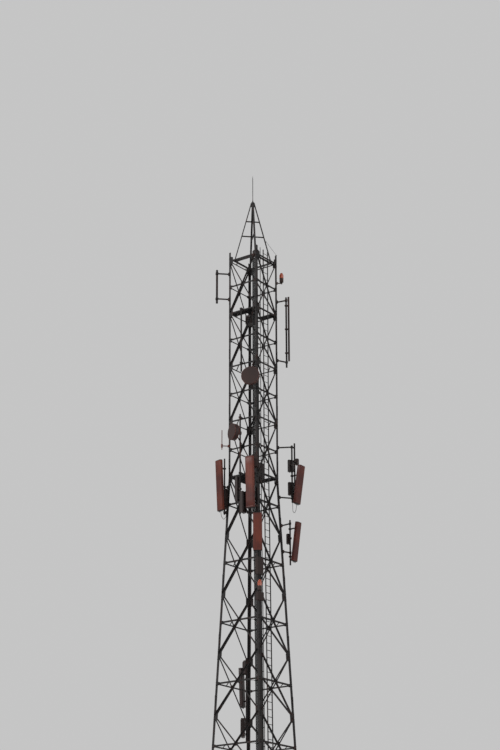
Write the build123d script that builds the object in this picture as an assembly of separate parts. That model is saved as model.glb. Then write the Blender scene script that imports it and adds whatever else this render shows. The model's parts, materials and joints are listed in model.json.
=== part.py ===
from build123d import *
from dataclasses import dataclass
import math
import os

# A self-supporting four-legged lattice communication tower in bolted steel angles, with its
# spire, lightning rod, work platforms, ladders, cables, antennas, dishes and beacons.
# Everything is modelled about the tower's own axis, in millimetres, +X east and +Y north, and
# is moved last of all so that the origin lies under the south-west leg's base plate.

# Tower outline
BAY_HEIGHT = 2500.0
TAPERED_BAYS = 10
UPRIGHT_BAYS = 4
TOP_WIDTH = 1500.0
BASE_WIDTH = 3550.0
LEG_STUB = 400.0

# Leg angles, and the angles of the bracing
LOWER_LEG_FLANGE = 110.0
LOWER_LEG_THICK = 10.0
UPPER_LEG_FLANGE = 90.0
UPPER_LEG_THICK = 8.0
LOWER_BAR_FLANGE = 60.0
UPPER_BAR_FLANGE = 50.0
BAR_THICK = 6.0
BAR_END_GAP = 15.0
GAUGE = 55.0
GUSSET_THICK = 8.0
GUSSET_REACH = 215.0
GUSSET_HALF_HEIGHT = 230.0
GUSSET_EDGE = 12.0
MID_GUSSET_HALF_HEIGHT = 75.0
MID_GUSSET_REACH = 190.0
CROSSING_PLATE = 190.0
SEAT_GAP = 0.3
FOOT_NODE = 215.0
KINK_RISE = 45.0

# Corner ties, floors and the frame under the spire
TIE_WIDTH = 60.0
UPPER_TIE_REACH = {"ne": 540.0, "nw": 540.0, "sw": 540.0, "se": 380.0}
LOWER_TIE_REACH = 660.0
FLOOR_DEPTH = 30.0
FLOOR_FRAME = 6.0
FLOOR_BAR_PITCH = 80.0
FLOOR_ROD_PITCH = 240.0
FLOOR_EDGE = 12.0
STRIP_WIDTH = 400.0
HATCH_WIDTH = 620.0
HATCH_LENGTH = 600.0
SPIRE_BEAM = 60.0

# The spire and its rod
SPIRE_FOOT = 590.0
SPIRE_TOP_HALF = 62.0
SPIRE_RISE = 2900.0
SPIRE_FLANGE = 60.0
SPIRE_BAR = 44.0
SPIRE_BAR_RISES = (1250.0, 1980.0)
ROD_LENGTH = 1354.0
ROD_RADIUS = 14.0
STAY_RADIUS = 6.0
STAY_RISE = 1050.0

# Ladders and feeders
RISER_INSET = 130.0
LADDER_FROM_LEG = 830.0
LADDER_WIDTH = 320.0
LADDER_STILE = 50.0
LADDER_BOTTOM = 300.0
LADDER_RISE = 430.0
RUNG = 20.0
RUNG_PITCH = 300.0
CROSSING_CLEARANCE = 75.0
CABLE_LADDER_FROM_LEG = 300.0
CABLE_LADDER_WIDTH = 290.0
CABLE_STILE = 30.0
RUNG_PROUD = 2.0
CABLE_LADDER_BOTTOM = 500.0
CABLE_LADDER_RISE = 460.0
CABLE_RUNG_PITCH = 750.0
FEEDER_BOTTOM = 150.0
FEEDER_PITCH = 36.0
FEEDER_RADIUS = 14.0
FEEDER_TOPS = ((9, 1700), (9, 2100), (13, 1100), (12, 2400), (11, 1800), (10, 300), (9, 600))

# Base plates
BASE_PLATE = 420.0
BASE_PLATE_THICK = 25.0
ANCHOR_SPACING = 320.0
ANCHOR_HOLE_RADIUS = 15.0
STIFFENER_HEIGHT = 160.0
STIFFENER_THICK = 10.0

# Heights of the main levels
KINK_HEIGHT = BAY_HEIGHT * TAPERED_BAYS
TOP_HEIGHT = KINK_HEIGHT + BAY_HEIGHT * UPRIGHT_BAYS
TAPER = (BASE_WIDTH - TOP_WIDTH) / 2 / KINK_HEIGHT
SLOPE_LENGTH = math.hypot(1, TAPER)
SPIRE_TOP = TOP_HEIGHT + SPIRE_RISE

# Compass bearings, in degrees clockwise from north, of the four legs
LEG_BEARINGS = {"sw": 225.0, "se": 135.0, "ne": 45.0, "nw": 315.0}
# Quarter turns that carry the south side, and the north-east leg, to the others
SIDE_TURNS = {"south": 0, "east": 90, "north": 180, "west": 270}
LEG_TURNS = {"ne": 0, "nw": 90, "sw": 180, "se": 270}


def half_width(height):
    """Half the tower's width over the leg heels at a height."""
    return TOP_WIDTH / 2 + TAPER * max(0.0, KINK_HEIGHT - height)


def at(bays, rise=0.0):
    """Height a number of bays above the ground, and a rise more."""
    return BAY_HEIGHT * bays + rise


def heading(bearing):
    """Unit vector of a compass bearing."""
    return Vector(math.sin(math.radians(bearing)), math.cos(math.radians(bearing)), 0)


def leg_heel(corner, height):
    """The outer corner of a leg at a height."""
    return heading(LEG_BEARINGS[corner]) * (half_width(height) * math.sqrt(2)) + Vector(0, 0, height)


def facing(point, bearing, tilt=0.0):
    """A place whose +Y looks along a compass bearing; a tilt leans its top forwards."""
    return Pos(*point) * Rot(0, 0, -bearing) * Rot(-tilt, 0, 0)


def tube(start, end, radius):
    """Round bar between two points."""
    start, end = Vector(start), Vector(end)
    return Plane(origin=start, z_dir=end - start) * extrude(Circle(radius), (end - start).length)


def square_bar(start, end, width):
    """Square bar between two points that aren't above each other, level across its top."""
    start, end = Vector(start), Vector(end)
    along = end - start
    across = Vector(-along.Y, along.X, 0)
    return Plane(origin=start, x_dir=across, z_dir=along) * extrude(Rectangle(width, width), along.length)


def chamfered_box(width, depth, tall, cut):
    """Box with its upright edges cut off."""
    return chamfer(Box(width, depth, tall).edges().filter_by(Axis.Z), cut)


def block(low, high):
    """Box between two opposite corners."""
    size = [b - a for a, b in zip(low, high)]
    middle = [(a + b) / 2 for a, b in zip(low, high)]
    return Pos(*middle) * Box(*size)


def joined(pieces):
    """One shape fused from several."""
    return pieces[0].fuse(*pieces[1:])


# Legs and their base plates


def angle_outline(heel, flange, thick):
    """Outline of an equal angle whose heel is the outer corner of the north-east leg."""
    far, inner = heel - flange, heel - thick
    points = [(heel, heel), (far, heel), (far, inner), (inner, inner), (inner, far), (heel, far)]
    return make_face(Polyline(*points, close=True))


def north_east_leg():
    """The two lengths of a leg: the leaning one up to the kink, and the upright one that stands
    on it and ends in a stub above the top horizontals."""
    lean = Vector(-TAPER, -TAPER, 1)
    foot = Pos(0, 0, BASE_PLATE_THICK) * angle_outline(
        half_width(BASE_PLATE_THICK), LOWER_LEG_FLANGE, LOWER_LEG_THICK
    )
    lower = extrude(foot, (KINK_HEIGHT - SEAT_GAP - BASE_PLATE_THICK) * lean.length, dir=lean)
    upper_outline = angle_outline(TOP_WIDTH / 2, UPPER_LEG_FLANGE, UPPER_LEG_THICK)
    upper = extrude(Pos(0, 0, KINK_HEIGHT) * upper_outline, TOP_HEIGHT - KINK_HEIGHT + LEG_STUB)
    return lower, upper


def north_east_base_plate():
    """Base plate with four anchor holes, and two stiffeners that stand against the leg's heel."""
    heel = half_width(BASE_PLATE_THICK)
    middle = half_width(0)
    plate = Pos(middle, middle, BASE_PLATE_THICK / 2) * Box(BASE_PLATE, BASE_PLATE, BASE_PLATE_THICK)
    holes = Pos(middle, middle, 0) * GridLocations(ANCHOR_SPACING, ANCHOR_SPACING, 2, 2)
    for place in holes:
        plate -= place * Cylinder(ANCHOR_HOLE_RADIUS, 3 * BASE_PLATE_THICK)
    rise = STIFFENER_HEIGHT
    run = middle + BASE_PLATE / 2 - heel
    lean = TAPER * rise
    fin = Plane.XZ * make_face(Polyline((0, 0), (run, 0), (-lean + 30, rise), (-lean, rise), close=True))
    fin = extrude(fin, STIFFENER_THICK)
    inset = LOWER_LEG_FLANGE / 2
    east_fin = Pos(heel, heel - inset, BASE_PLATE_THICK) * fin
    north_fin = mirror(east_fin, Plane(origin=(0, 0, 0), z_dir=(1, -1, 0)))
    return plate + east_fin + north_fin


# Lattice sides, drawn flat: x runs along the side, y up its slope and z out of the tower


def flat_bar(start, end, flange, outward):
    """One angle bar from start to end. An outward bar lies on the outer face of the gussets
    with its free flange outwards, and any other on their inner face with it inwards."""
    along = Vector(end[0] - start[0], end[1] - start[1], 0)
    across = Vector(-along.Y, along.X, 0)
    side = 1 if outward else -1
    half, thick = flange / 2, BAR_THICK
    inner = half - thick
    points = [(-half, 0), (half, 0), (half, flange), (inner, flange), (inner, thick), (-half, thick)]
    outline = make_face(Polyline(*[(x, side * y) for x, y in points], close=True))
    plane = Plane(origin=(start[0], start[1], GUSSET_THICK if outward else 0.0), x_dir=across, z_dir=along)
    return extrude(plane * outline, along.length)


def flat_plate(points):
    """A plate in the gusset layer."""
    return extrude(make_face(Polyline(*points, close=True)), GUSSET_THICK)


def leg_gusset(half, level, hand, up, down, reach):
    """Gusset on a leg, from its node up and down, narrowing away from the leg."""
    outer, inner = hand * (half - GUSSET_EDGE), hand * (half - reach)
    lean = hand * TAPER if half > TOP_WIDTH / 2 else 0.0
    points = [(outer, -down), (outer, up), (inner, up * 0.6), (inner, -down * 0.6)]
    return flat_plate([(x - lean * rise, level + rise) for x, rise in points])


def diagonal(low_x, low_y, high_x, high_y, flange, leg_flange, outward):
    """A diagonal between the gauge lines of two legs, cut back clear of the leg if it is inside."""
    along = Vector(high_x - low_x, high_y - low_y, 0).normalized()
    back = flange / 2
    if not outward:
        back = (leg_flange + BAR_END_GAP - GAUGE + flange / 2 * abs(along.Y)) / abs(along.X)
    start = (low_x + along.X * back, low_y + along.Y * back)
    end = (high_x - along.X * back, high_y - along.Y * back)
    return flat_bar(start, end, flange, outward)


def lattice_side(heights, flange, leg_flange, slope, width_at):
    """The bays of one flat side: in each two crossed diagonals, and a horizontal through the
    crossing that ends on gussets of its own."""
    pieces = []
    for low, high in zip(heights, heights[1:]):
        below, above = width_at(low) - GAUGE, width_at(high) - GAUGE
        bottom, top = low * slope, high * slope
        pieces.append(diagonal(-below, bottom, above, top, flange, leg_flange, True))
        pieces.append(diagonal(below, bottom, -above, top, flange, leg_flange, False))
        mid = bottom + (top - bottom) * below / (below + above)
        half = width_at(mid / slope)
        pieces.append(horizontal(half, mid, flange, leg_flange))
        size = CROSSING_PLATE / 2
        low_edge, high_edge = mid - size, mid + size
        pieces.append(flat_plate([(-size, low_edge), (size, low_edge), (size, high_edge), (-size, high_edge)]))
        for hand in (1, -1):
            rise = MID_GUSSET_HALF_HEIGHT
            pieces.append(leg_gusset(half, mid, hand, rise, rise, MID_GUSSET_REACH))
    return pieces


def horizontal(half, level, flange, leg_flange):
    """A horizontal between the legs' flanges, its own free flange inwards at its lower edge."""
    reach = half - leg_flange - BAR_END_GAP
    return flat_bar((reach, level), (-reach, level), flange, False)


def lower_south_side():
    """The leaning lattice of the south side, from the base plates to the kink."""
    heights = [FOOT_NODE] + [BAY_HEIGHT * k for k in range(1, TAPERED_BAYS)] + [KINK_HEIGHT - BAR_THICK]
    pieces = lattice_side(heights, LOWER_BAR_FLANGE, LOWER_LEG_FLANGE, SLOPE_LENGTH, half_width)
    for k, height in enumerate(heights):
        up = 0 if k == TAPERED_BAYS else GUSSET_HALF_HEIGHT
        down = 0 if k == 0 else GUSSET_HALF_HEIGHT
        for hand in (1, -1):
            pieces.append(
                leg_gusset(half_width(height), height * SLOPE_LENGTH, hand, up, down, GUSSET_REACH)
            )
    plane = Plane(origin=(0, -half_width(0), 0), x_dir=(1, 0, 0), z_dir=(0, -1, TAPER))
    return plane * joined(pieces)


def upper_south_side():
    """The upright lattice of the south side, with a horizontal at every node as well."""
    heights = [BAR_THICK] + [BAY_HEIGHT * k for k in range(1, UPRIGHT_BAYS + 1)]
    half = TOP_WIDTH / 2
    pieces = lattice_side(heights, UPPER_BAR_FLANGE, UPPER_LEG_FLANGE, 1.0, lambda height: half)
    for k, height in enumerate(heights):
        down = 0 if k == 0 else GUSSET_HALF_HEIGHT
        for hand in (1, -1):
            pieces.append(leg_gusset(half, height, hand, GUSSET_HALF_HEIGHT, down, GUSSET_REACH))
        pieces.append(horizontal(half, max(height, KINK_RISE), UPPER_BAR_FLANGE, UPPER_LEG_FLANGE))
    plane = Plane(origin=(0, -half, KINK_HEIGHT), x_dir=(1, 0, 0), z_dir=(0, -1, 0))
    return plane * joined(pieces)


# Floors, corner ties and the frame under the spire


def ledge(height):
    """Top of a horizontal's free flange in the upright part, on which floors and ties rest."""
    return height - UPPER_BAR_FLANGE / 2 + BAR_THICK


def mid_bay(k):
    """Height at which the diagonals of bay k cross, counted from the ground."""
    low, high = BAY_HEIGHT * k, BAY_HEIGHT * (k + 1)
    if k == 0:
        low = FOOT_NODE
    if k == TAPERED_BAYS - 1:
        high = KINK_HEIGHT - BAR_THICK
    if k == TAPERED_BAYS:
        low = KINK_HEIGHT + BAR_THICK
    below, above = half_width(low) - GAUGE, half_width(high) - GAUGE
    return low + (high - low) * below / (below + above)


def corner_tie(corner, half, reach, top):
    """A flat tie across one corner, from the horizontal of one side to that of the next."""
    near, far = half - 20, half - reach
    outline = Polyline((near, far), (near, far + TIE_WIDTH), (far + TIE_WIDTH, near), (far, near), close=True)
    tie = Pos(0, 0, top - BAR_THICK) * extrude(make_face(outline), BAR_THICK)
    return Rot(0, 0, LEG_TURNS[corner]) * tie


def upper_corner_ties():
    """Ties under the node horizontals of the upright part."""
    levels = [max(at(TAPERED_BAYS + k), KINK_HEIGHT + KINK_RISE) for k in range(UPRIGHT_BAYS + 1)]
    return [
        corner_tie(corner, TOP_WIDTH / 2, reach, ledge(level) - BAR_THICK - SEAT_GAP)
        for level in levels
        for corner, reach in UPPER_TIE_REACH.items()
    ]


def lower_corner_ties():
    """Ties under the mid-bay horizontals of the tapered part."""
    ties = []
    for k in range(TAPERED_BAYS):
        height = mid_bay(k)
        top = height - LOWER_BAR_FLANGE / 2 - TAPER * LOWER_BAR_FLANGE - SEAT_GAP
        ties += [corner_tie(corner, half_width(height), LOWER_TIE_REACH, top) for corner in LEG_TURNS]
    return ties


def grating(west, east, south, north, bottom):
    """One panel of open floor: bearing bars and cross rods in a flat frame."""
    thin, top = FLOOR_FRAME, bottom + FLOOR_DEPTH
    frame = block((west, south, bottom), (east, north, top)) - block(
        (west + thin, south + thin, bottom - 1), (east - thin, north - thin, top + 1)
    )
    bars = [frame]
    count = max(1, round((east - west) / FLOOR_BAR_PITCH))
    for k in range(1, count):
        x = west + (east - west) * k / count
        bars.append(block((x - 2, south + 1, bottom), (x + 2, north - 1, top)))
    count = max(1, round((north - south) / FLOOR_ROD_PITCH))
    for k in range(1, count):
        y = south + (north - south) * k / count
        bars.append(block((west + 1, y - 3, top - 8), (east - 1, y + 3, top)))
    return joined(bars)


def floor_panels(level, west):
    """Panels that rest on the horizontals of one node level, from a west edge to the east side,
    and leave a hatch beside the climbing ladder and a slot for the cable ladder. Where they
    don't reach the west side, a strip along the south side goes on to it."""
    reach = TOP_WIDTH / 2 - FLOOR_EDGE
    bottom = ledge(level) + SEAT_GAP
    slot_west, slot_east = TOP_WIDTH / 2 - RISER_INSET - 100, TOP_WIDTH / 2 - RISER_INSET + 60
    slot_south = -TOP_WIDTH / 2 + CABLE_LADDER_FROM_LEG - 175
    ladder = -TOP_WIDTH / 2 + LADDER_FROM_LEG
    hatch_west = slot_east - HATCH_WIDTH
    hatch_south, hatch_north = ladder - HATCH_LENGTH / 2, ladder + HATCH_LENGTH / 2
    gap = SEAT_GAP
    panels = [
        grating(west, hatch_west - gap, -reach, reach, bottom),
        grating(hatch_west, slot_east - gap, hatch_north, reach, bottom),
        grating(hatch_west, slot_west - gap, -reach, hatch_south, bottom),
        grating(slot_west, slot_east - gap, -reach, slot_south, bottom),
        grating(slot_east, reach, -reach, reach, bottom),
    ]
    if west > -reach:
        panels.append(grating(-reach, west - gap, -reach, -reach + STRIP_WIDTH, bottom))
    return panels


def spire_frame():
    """Two pairs of crossed beams at the tower's top that carry the spire's legs."""
    low = ledge(TOP_HEIGHT) + SEAT_GAP
    high = low + SPIRE_BEAM
    reach = TOP_WIDTH / 2 - BAR_THICK - 6
    near, far = SPIRE_FOOT, SPIRE_FOOT - SPIRE_BEAM
    beams = []
    for side in (1, -1):
        inner, outer = sorted((side * far, side * near))
        beams.append(block((inner, -reach, low), (outer, reach, high)))
        beams.append(block((-near, inner, low), (near, outer, high)))
    return joined(beams)


# The spire and the rod


def spire_foot():
    """Height of the spire's foot plates."""
    return ledge(TOP_HEIGHT) + SPIRE_BEAM + 2 * SEAT_GAP


def spire_half(height):
    """Half the spire's width over its leg heels at a height."""
    foot = spire_foot()
    return SPIRE_FOOT + (SPIRE_TOP_HALF - SPIRE_FOOT) * (height - foot) / (SPIRE_TOP - foot)


def spire():
    """Four angles on foot plates that lean together under a cap, with bars at two heights that
    join the opposite legs."""
    foot = spire_foot()
    lean = (SPIRE_FOOT - SPIRE_TOP_HALF) / (SPIRE_TOP - foot)
    direction = Vector(-lean, -lean, 1)
    outline = Pos(0, 0, foot) * angle_outline(SPIRE_FOOT, SPIRE_FLANGE, BAR_THICK)
    leg = extrude(outline, (SPIRE_TOP - foot) * direction.length, dir=direction)
    outer = SPIRE_FOOT + 8
    plate = block((outer - 100, outer - 100, foot), (outer, outer, foot + 10))
    pieces = [Rot(0, 0, turn) * shape for turn in LEG_TURNS.values() for shape in (leg, plate)]
    for rise in SPIRE_BAR_RISES:
        height = TOP_HEIGHT + rise
        length = 2 * math.sqrt(2) * (spire_half(height) - BAR_THICK)
        for turn in (45, 135):
            pieces.append(Pos(0, 0, height) * Rot(0, 0, turn) * Box(length, SPIRE_BAR, SPIRE_BAR))
    cap = SPIRE_TOP_HALF * 1.6
    profile = [(0, -170), (cap * 0.8, -170), (cap, -80), (cap, -20), (cap * 0.6, 40), (0, 40)]
    dome = revolve(Plane.XZ * make_face(Polyline(*profile, close=True)), Axis.Z)
    pieces.append(Pos(0, 0, SPIRE_TOP) * dome)
    return joined(pieces)


def lightning_rod():
    """Rod that stands on the cap, drawn out to a point."""
    foot = SPIRE_TOP + 40 + SEAT_GAP
    tip = SPIRE_TOP + 16 + ROD_LENGTH
    profile = [
        (0, foot), (24, foot), (24, foot + 90), (ROD_RADIUS, foot + 100),
        (ROD_RADIUS, tip - 160), (2, tip), (0, tip),
    ]
    return revolve(Plane.XZ * make_face(Polyline(*profile, close=True)), Axis.Z)


def stay_wire():
    """Taut wire from a clip on the spire's north-east leg down to the tip of the leg below."""
    high = TOP_HEIGHT + STAY_RISE
    top = Vector(spire_half(high), spire_half(high), high) + Vector(12, 12, 0)
    on_leg = TOP_WIDTH / 2 - UPPER_LEG_THICK / 2
    tip = Vector(on_leg, on_leg, TOP_HEIGHT + LEG_STUB)
    clip = Pos(tip.X, tip.Y, tip.Z + 12 + SEAT_GAP) * Box(26, 26, 24)
    top_clip = Pos(*top) * Rot(0, 0, 45) * Box(23, 30, 40)
    return joined([tube(tip + Vector(0, 0, 14), top, STAY_RADIUS), clip, top_clip])


# Clamps on the legs


def leg_seat(corner, height, tall=120.0):
    """Clamp block shaped to a leg's heel, that follows the leg's lean."""
    half = half_width(height - tall / 2) + SEAT_GAP
    lean = Vector(-TAPER, -TAPER, 1) if height < KINK_HEIGHT else Vector(0, 0, 1)
    points = [
        (half, half), (half, half - 65), (half + 22, half - 65), (half + 60, half - 10), (half + 60, half),
        (half, half + 60), (half - 10, half + 60), (half - 65, half + 22), (half - 65, half),
    ]
    outline = Pos(0, 0, height - tall / 2) * make_face(Polyline(*points, close=True))
    return Rot(0, 0, LEG_TURNS[corner]) * extrude(outline, tall * lean.length, dir=lean)


def seat_face(corner, height):
    """Middle of a seat's outward face, a little inside the block."""
    return leg_heel(corner, height) + heading(LEG_BEARINGS[corner]) * 30


@dataclass(frozen=True)
class Pipe:
    """An upright pipe that carries antennas and other units."""

    x: float
    y: float
    bottom: float
    top: float
    radius: float

    def point(self, height):
        """The pipe's middle at a height."""
        return Vector(self.x, self.y, height)

    def shape(self):
        """The pipe itself."""
        return tube(self.point(self.bottom), self.point(self.top), self.radius)


def pipe_beside(corner, height, offset, bottom, top, radius):
    """A pipe at an offset from the heel that a leg has at a height."""
    place = leg_heel(corner, height) + offset
    return Pipe(place.X, place.Y, bottom, top, radius)


def sleeve(pipe, height, bearing):
    """Plain clamp round a pipe that it is fused with."""
    size = 2 * pipe.radius + 24
    return facing(pipe.point(height), bearing) * Box(size, size, 90)


def leg_mount(corner, pipe, arms, width=50.0):
    """A pipe held off a leg by arms from clamp blocks, each given by its two heights, on the leg
    and on the pipe."""
    pieces = [pipe.shape()]
    for on_leg, on_pipe in arms:
        pieces.append(leg_seat(corner, on_leg))
        pieces.append(square_bar(seat_face(corner, on_leg), pipe.point(on_pipe), width))
        pieces.append(sleeve(pipe, on_pipe, LEG_BEARINGS[corner]))
    return joined(pieces)


def side_mount(pipe, heights):
    """A pipe in front of the middle of the south side, on brackets that meet the outer faces of
    node horizontals."""
    pieces = [pipe.shape()]
    half = UPPER_BAR_FLANGE / 2
    for height in heights:
        face = -TOP_WIDTH / 2 - SEAT_GAP
        pieces.append(block((-45, pipe.y, height - half), (45, face, height + half)))
        pieces.append(sleeve(pipe, height, 180))
    return joined(pieces)


# Antennas and equipment


def jaws(pipe, height, bearing, tall, wall=14.0):
    """Clamp of two V-shaped jaws with a clear fit round a pipe."""
    size = 2 * (pipe.radius + wall)
    bore = RegularPolygon(pipe.radius + SEAT_GAP, 8, major_radius=False)
    bore = Pos(0, 0, -tall / 2 - 1) * extrude(bore, tall + 2)
    return facing(pipe.point(height), bearing) * (Box(size, size, tall) - bore)


def socket(radius, tall):
    """Six-sided cable socket that hangs down from its place."""
    return Pos(0, 0, -tall) * extrude(RegularPolygon(radius, 6), tall + 4)


@dataclass(frozen=True)
class Panel:
    """A panel antenna that looks along a bearing and leans forwards, on two brackets."""

    pipe: Pipe
    bearing: float
    middle: float
    width: float
    depth: float
    tall: float
    tilt: float
    stand_off: float
    spread: float = 0.36

    def place(self):
        """Middle of the panel, with +Y forwards."""
        centre = self.pipe.point(self.middle) + heading(self.bearing) * (self.stand_off + self.depth / 2)
        return facing(centre, self.bearing, self.tilt)

    def socket_offset(self, k):
        """Where socket k of three hangs from the panel's foot."""
        return Vector((k - 1) * 0.28 * self.width, 0, -self.tall / 2)

    def outlet(self, k):
        """The lower end of a socket."""
        return self.place() * Pos(*self.socket_offset(k)) * Pos(0, 0, -60)

    def shape(self):
        """The body with its end caps, sockets and brackets."""
        cut = self.depth * 0.24
        pieces = [chamfered_box(self.width, self.depth, self.tall, cut)]
        for side in (1, -1):
            cap = chamfered_box(self.width + 8, self.depth + 8, 14, cut)
            pieces.append(Pos(0, 0, side * self.tall / 2) * cap)
        pieces += [Pos(*self.socket_offset(k)) * socket(15, 60) for k in range(3)]
        whole = [self.place() * joined(pieces)]
        for side in (1, -1):
            height = self.middle + side * self.tall * self.spread
            back = self.stand_off + (height - self.middle) * math.tan(math.radians(self.tilt)) + 25
            near = self.pipe.radius + 8
            link = Pos(0, (near + back) / 2, 0) * Box(56, back - near, 44)
            whole.append(facing(self.pipe.point(height), self.bearing) * link)
            whole.append(jaws(self.pipe, height, self.bearing, 64))
        return joined(whole)


@dataclass(frozen=True)
class RadioUnit:
    """A finned radio unit beside a pipe."""

    pipe: Pipe
    bearing: float
    middle: float
    width: float
    depth: float
    tall: float

    def place(self):
        """The pipe's middle beside the unit, with +Y towards it."""
        return facing(self.pipe.point(self.middle), self.bearing)

    def socket_offset(self, k):
        """Where socket k of two hangs from the unit's foot."""
        return Vector((k - 0.5) * self.width / 2, self.pipe.radius + 30 + self.depth / 2, -self.tall / 2)

    def outlet(self, k):
        """The lower end of a socket."""
        return self.place() * Pos(*self.socket_offset(k)) * Pos(0, 0, -40)

    def shape(self):
        """The body with its fins, sockets, back plate and clamp."""
        near = self.pipe.radius + 30
        body = chamfered_box(self.width, self.depth, self.tall, 10)
        pieces = [Pos(0, near + self.depth / 2, 0) * body]
        pieces.append(Pos(0, self.pipe.radius + 20, 0) * Box(70, 30, 80))
        count = max(3, round(self.width / 45))
        for k in range(count):
            x = -self.width / 2 + self.width * (k + 0.5) / count
            pieces.append(Pos(x, near + self.depth + 9, 0) * Box(8, 22, self.tall * 0.86))
        pieces += [Pos(*self.socket_offset(k)) * socket(13, 40) for k in range(2)]
        return joined([self.place() * joined(pieces), jaws(self.pipe, self.middle, self.bearing, 80)])


def drum_dish(pipe, bearing, middle, diameter, depth):
    """Dish in a round shroud with a flat cover, a hub and its pipe bracket."""
    r = diameter / 2
    near = pipe.radius + 60
    profile = [
        (0, 0), (70, 0), (70, 50), (r * 0.6, 66), (r, 128), (r, 122 + depth), (r * 0.97, 132 + depth),
        (0, 132 + depth),
    ]
    drum = revolve(Plane.XZ * make_face(Polyline(*profile, close=True)), Axis.Z)
    drum = Pos(0, near, 0) * Rot(-90, 0, 0) * drum
    arm = Pos(0, (pipe.radius + near) / 2 + 10, 0) * Box(80, near - pipe.radius + 16, 110)
    place = facing(pipe.point(middle), bearing)
    return joined([place * joined([drum, arm]), jaws(pipe, middle, bearing, 130)])


def slender_antenna(pipe, bearing, away, bottom, top):
    """Tall slender antenna beside a pipe, on three clamps."""
    centre = pipe.point(0) + heading(bearing) * away
    pieces = [tube((centre.X, centre.Y, bottom), (centre.X, centre.Y, top), 42)]
    for share in (0.13, 0.5, 0.87):
        height = bottom + (top - bottom) * share
        near = pipe.radius + 8
        pieces.append(jaws(pipe, height, bearing, 60))
        link = Pos(0, (near + away) / 2, 0) * Box(44, away - near, 44)
        pieces.append(facing(pipe.point(height), bearing) * link)
    return joined(pieces)


def canister(pipe, tall, radius):
    """Round canister antenna that stands on a pipe."""
    profile = [
        (0, 0), (radius * 0.4, 0), (radius, 40), (radius, tall - 70), (radius * 0.7, tall), (0, tall),
    ]
    body = revolve(Plane.XZ * make_face(Polyline(*profile, close=True)), Axis.Z)
    return Pos(*pipe.point(pipe.top + SEAT_GAP)) * body


def box_on_leg(corner, middle, bearing, width, depth, tall):
    """Equipment box in front of a leg's heel, on a clamp block."""
    centre = leg_heel(corner, middle) + heading(LEG_BEARINGS[corner]) * (70 + width / 2)
    box = facing(centre, bearing) * chamfered_box(width, depth, tall, 12)
    return joined([leg_seat(corner, middle), square_bar(seat_face(corner, middle), centre, 60), box])


def cabinet(low, high):
    """Closed equipment box with a rim round its door."""
    inset, lip = 25, 8
    rim = block((low[0] + inset, low[1] - lip, low[2] + inset), (high[0] - inset, low[1] + lip, high[2] - inset))
    return block(low, high) + rim


def jumper(start, end, drop, radius=9.0):
    """Cable that hangs in a loop between two sockets."""
    first, last = start.position, end.position
    low = min(first.Z, last.Z) - drop
    points = [first - Vector(0, 0, SEAT_GAP)]
    for share, rise in ((0.1, 0.4), (0.5, 0.0), (0.9, 0.4)):
        place = first * (1 - share) + last * share
        points.append(Vector(place.X, place.Y, low + drop * rise))
    points.append(last - Vector(0, 0, SEAT_GAP))
    path = FilletPolyline(*points, radius=min(60, (last - first).length * 0.12))
    return sweep(Plane(origin=path @ 0, z_dir=path % 0) * Circle(radius), path=path)


def lamp(corner, bottom, reach, drop):
    """Obstruction light on a leg: its bracket and housing, and its coloured dome."""
    seat_height = bottom - drop
    post = leg_heel(corner, seat_height) + heading(LEG_BEARINGS[corner]) * reach
    arm = square_bar(seat_face(corner, seat_height), (post.X, post.Y, seat_height), 36)
    stem = Pos(post.X, post.Y, (seat_height - 26 + bottom + 10) / 2) * Box(52, 52, bottom - seat_height + 36)
    housing = tube((post.X, post.Y, bottom), (post.X, post.Y, bottom + 180), 88)
    fitting = joined([leg_seat(corner, seat_height, 90), arm, stem, housing])
    foot = RegularPolygon(92, 16)
    dome = extrude(foot, 150) + loft([Pos(0, 0, 150) * foot, Pos(0, 0, 252) * RegularPolygon(48, 16)])
    return fitting, Pos(post.X, post.Y, bottom + 180 + SEAT_GAP) * dome


def whip(corner, arm_height, top, reach):
    """Whip antenna on a short arm from a leg."""
    post = leg_heel(corner, arm_height) + heading(LEG_BEARINGS[corner]) * reach
    arm = square_bar(seat_face(corner, arm_height), (post.X, post.Y, arm_height), 32)
    base = Pos(post.X, post.Y, arm_height) * Box(56, 56, 160)
    rod = tube((post.X, post.Y, arm_height - 170), (post.X, post.Y, top), 17)
    return joined([leg_seat(corner, arm_height, 90), arm, base, rod])


# Ladders and cables on the inside of the east side


def riser_points(from_leg, inset, low, high):
    """The line that runs up beside the south-east leg inside the east side, with its kink."""
    heights = [low, KINK_HEIGHT, high]
    return [Vector(half_width(z) - inset, -half_width(z) + from_leg, z) for z in heights]


def riser(from_leg, inset, low, high, outline, gap=0.0):
    """The leaning and the upright length of a bar of a given outline beside the south-east leg."""
    points = riser_points(from_leg, inset, low, high)
    lean = Vector(-TAPER, TAPER, 1)
    lower = extrude(Pos(*points[0]) * outline, (points[1].Z - gap - points[0].Z) * lean.length, dir=lean)
    return lower, extrude(Pos(*points[1]) * outline, points[2].Z - points[1].Z)


def ladder_ties(from_leg, half_span, inset, bays=range(TAPERED_BAYS + UPRIGHT_BAYS)):
    """Ties from the ladder to the free flanges of the east side's mid-bay horizontals."""
    ties = []
    for k in bays:
        height = mid_bay(k)
        lower_part = k < TAPERED_BAYS
        flange = LOWER_BAR_FLANGE if lower_part else UPPER_BAR_FLANGE
        half = half_width(height)
        bottom = height - flange / 2 + BAR_THICK + (0.0 if lower_part else SEAT_GAP)
        middle = -half + from_leg
        for side in (-1, 1):
            y = middle + side * half_span
            if abs(y) < CROSSING_CLEARANCE:
                continue
            ties.append(
                block((half - inset - 5, y - 20, bottom), (half - BAR_THICK - 4, y + 20, bottom + 8))
            )
    return ties


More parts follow.
